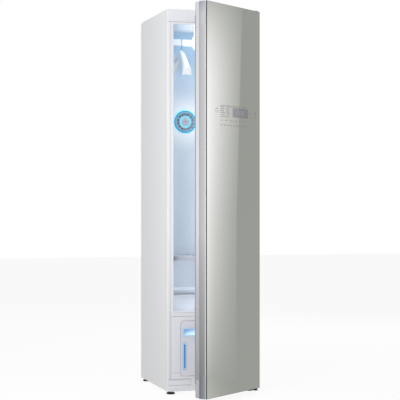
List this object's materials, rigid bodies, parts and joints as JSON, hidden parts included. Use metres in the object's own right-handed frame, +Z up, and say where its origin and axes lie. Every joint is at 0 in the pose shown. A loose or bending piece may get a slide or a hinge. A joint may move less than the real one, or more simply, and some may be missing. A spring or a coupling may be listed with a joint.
{
  "type": "clothes care steam cabinet",
  "caption": "Tall free-standing clothes care steam cabinet with a mirrored door standing ajar on the right, a shaking hanger rail, a wire shelf and water tanks below.",
  "frame": {"origin": "on the floor, midway between the four levelling feet", "axes": "+X to the right of someone facing the door, +Y to the back, +Z up"},
  "size_m": [0.4484, 0.8387, 1.85],
  "materials": {
    "casing": "satin",
    "plain_steel": "satin",
    "front_plastic": "satin",
    "cavity_plastic": "satin",
    "foam": "matte",
    "duct_plastic": "matte",
    "bezel_plastic": "satin",
    "light_cyan": "gloss",
    "light_white": "gloss",
    "dark_plastic": "matte",
    "grey_plastic": "satin",
    "rail_white": "satin",
    "hanger_white": "satin",
    "wire": "polished",
    "tank_clear": "gloss",
    "motor_steel": "satin",
    "compressor_black": "satin",
    "coil_aluminium": "satin",
    "foot_black": "matte",
    "hose_grey": "matte",
    "door_mirror": "polished",
    "door_trim": "satin",
    "cap_plastic": "satin",
    "liner_grey": "satin",
    "gasket_grey": "matte",
    "board_green": "satin"
  },
  "bodies": {
    "cabinet": {"left_side_panel": "casing", "right_side_panel": "casing", "top_cover": "casing", "back_panel": "plain_steel", "base_pan": "plain_steel", "front_header": "front_plastic", "header_lamp_lens": "light_white", "liner_left": "cavity_plastic", "liner_right": "cavity_plastic", "liner_back": "cavity_plastic", "ceiling_panel": "cavity_plastic", "cavity_floor": "cavity_plastic", "insulation_boards": "foam", "rear_duct": "duct_plastic", "outlet_bezel": "bezel_plastic", "outlet_light_ring": "light_cyan", "fan_motor": "motor_steel", "rear_grille": "dark_plastic", "steam_outlet": "grey_plastic", "humidity_sensor": "dark_plastic", "drive_housing": "duct_plastic", "drive_motor": "motor_steel", "lower_front_panel": "front_plastic", "kick_panel": "front_plastic", "lower_cover": "front_plastic", "tank_bay": "duct_plastic", "levelling_feet": "foot_black", "compressor": "compressor_black", "heat_exchangers": "coil_aluminium", "blower_housing": "duct_plastic", "steam_generator": "motor_steel", "water_pumps": "grey_plastic", "control_box": "plain_steel", "hoses": "hose_grey", "top_hinge": "casing", "bottom_hinge": "plain_steel", "power_inlet": "dark_plastic"},
    "door": {"door_glass": "door_mirror", "glass_carrier": "dark_plastic", "door_side_trims": "door_trim", "door_top_cap": "cap_plastic", "door_bottom_cap": "cap_plastic", "door_core": "foam", "display_board": "board_green", "door_liner": "liner_grey", "door_gasket": "gasket_grey"},
    "rail": {"hanger_rail": "rail_white"},
    "hanger": {"hanger_hook": "wire", "hanger_body": "hanger_white"},
    "crank": {"drive_crank": "grey_plastic"},
    "fan": {"fan_impeller": "grey_plastic"},
    "blower": {"blower_wheel": "duct_plastic"},
    "shelf": {"shelf": "wire"},
    "filter": {"lint_filter": "grey_plastic"},
    "supply_tank": {"supply_tank": "tank_clear", "supply_tank_lid": "grey_plastic", "supply_tank_front": "front_plastic"},
    "drain_tank": {"drain_tank": "tank_clear", "drain_tank_lid": "grey_plastic", "drain_tank_front": "front_plastic"}
  },
  "joints": [
    {"name": "door_hinge", "type": "hinge", "parent": "cabinet", "child": "door", "pos_m": [0.2025, -0.3135, 0.93], "axis": [0, 0, 1], "range_deg": [-37.3, 72.7]},
    {"name": "rail_shake", "type": "slide", "parent": "cabinet", "child": "rail", "axis": [1, 0, 0], "range_m": [-0.012, 0.012]},
    {"name": "hanger_swing", "type": "hinge", "parent": "rail", "child": "hanger", "pos_m": [-0.083, -0.0075, 1.734], "axis": [1, 0, 0], "range_deg": [-10, 4.5]},
    {"name": "crank_spin", "type": "hinge", "parent": "cabinet", "child": "crank", "pos_m": [0, -0.0075, 1.817], "axis": [0, 0, 1], "continuous": true},
    {"name": "fan_spin", "type": "hinge", "parent": "cabinet", "child": "fan", "pos_m": [0, 0.2215, 1.342], "axis": [0, 1, 0], "continuous": true},
    {"name": "blower_spin", "type": "hinge", "parent": "cabinet", "child": "blower", "pos_m": [-0.118, 0.176, 0.06], "axis": [0, 0, 1], "continuous": true},
    {"name": "supply_tank_slide", "type": "slide", "parent": "cabinet", "child": "supply_tank", "axis": [0, -1, 0], "range_m": [0, 0.12]},
    {"name": "drain_tank_slide", "type": "slide", "parent": "cabinet", "child": "drain_tank", "axis": [0, -1, 0], "range_m": [0, 0.085]},
    {"name": "shelf_lift", "type": "slide", "parent": "cabinet", "child": "shelf", "axis": [0, 0, 1], "range_m": [0, 0.03]},
    {"name": "lint_filter_lift", "type": "slide", "parent": "cabinet", "child": "filter", "axis": [0, 0, 1], "range_m": [0, 0.06]}
  ]
}
